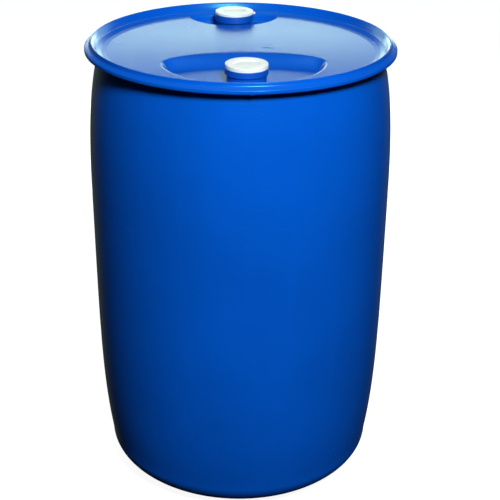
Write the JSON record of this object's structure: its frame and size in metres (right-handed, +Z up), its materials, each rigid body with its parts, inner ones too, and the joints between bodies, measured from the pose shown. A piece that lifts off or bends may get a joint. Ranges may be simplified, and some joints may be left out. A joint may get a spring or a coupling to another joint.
{
  "type": "tight-head plastic chemical drum",
  "caption": "Blue blow-moulded tight-head plastic drum with an L-section handling ring and two recessed screw bungs under white cap seals.",
  "frame": {"origin": "centre of the drum's foot, on the floor that it stands on", "axes": "+Z up along the drum's axis; +Y from the axis towards the smaller well and its pipe-threaded neck, -Y towards the large well; both necks lie on the plane x = 0"},
  "size_m": [0.581, 0.581, 0.89],
  "materials": {
    "body_blue": "satin",
    "neck_blue": "satin",
    "cap_white": "satin",
    "plug_white": "matte",
    "seal_rubber": "matte"
  },
  "bodies": {
    "drum": {"drum_body": "body_blue", "handling_ring": "body_blue", "front_neck": "neck_blue", "rear_neck": "neck_blue"},
    "front_gasket": {"front_gasket": "seal_rubber"},
    "front_plug": {"front_bung_plug": "plug_white"},
    "front_cap": {"front_cap_seal": "cap_white"},
    "rear_gasket": {"rear_gasket": "seal_rubber"},
    "rear_plug": {"rear_bung_plug": "plug_white"},
    "rear_cap": {"rear_cap_seal": "cap_white"}
  },
  "joints": [
    {"name": "front_bung_lift", "type": "slide", "parent": "drum", "child": "front_gasket", "axis": [0, 0, 1], "range_m": [0, 0.0161]},
    {"name": "front_bung_turn", "type": "hinge", "parent": "front_gasket", "child": "front_plug", "pos_m": [0, -0.1555, 0.88], "axis": [0, 0, 1], "range_deg": [0, 1440]},
    {"name": "front_cap_pull", "type": "slide", "parent": "front_plug", "child": "front_cap", "axis": [0, 0, 1], "range_m": [0, 0.06]},
    {"name": "rear_bung_lift", "type": "slide", "parent": "drum", "child": "rear_gasket", "axis": [0, 0, 1], "range_m": [0, 0.0156]},
    {"name": "rear_bung_turn", "type": "hinge", "parent": "rear_gasket", "child": "rear_plug", "pos_m": [0, 0.216, 0.88], "axis": [0, 0, 1], "range_deg": [0, 2520]},
    {"name": "rear_cap_pull", "type": "slide", "parent": "rear_plug", "child": "rear_cap", "axis": [0, 0, 1], "range_m": [0, 0.06]}
  ],
  "couplings": [
    {"joint": "front_bung_lift", "follows": "front_bung_turn", "m_per_rad": 0.00063662},
    {"joint": "rear_bung_lift", "follows": "rear_bung_turn", "m_per_rad": 0.00035157}
  ]
}
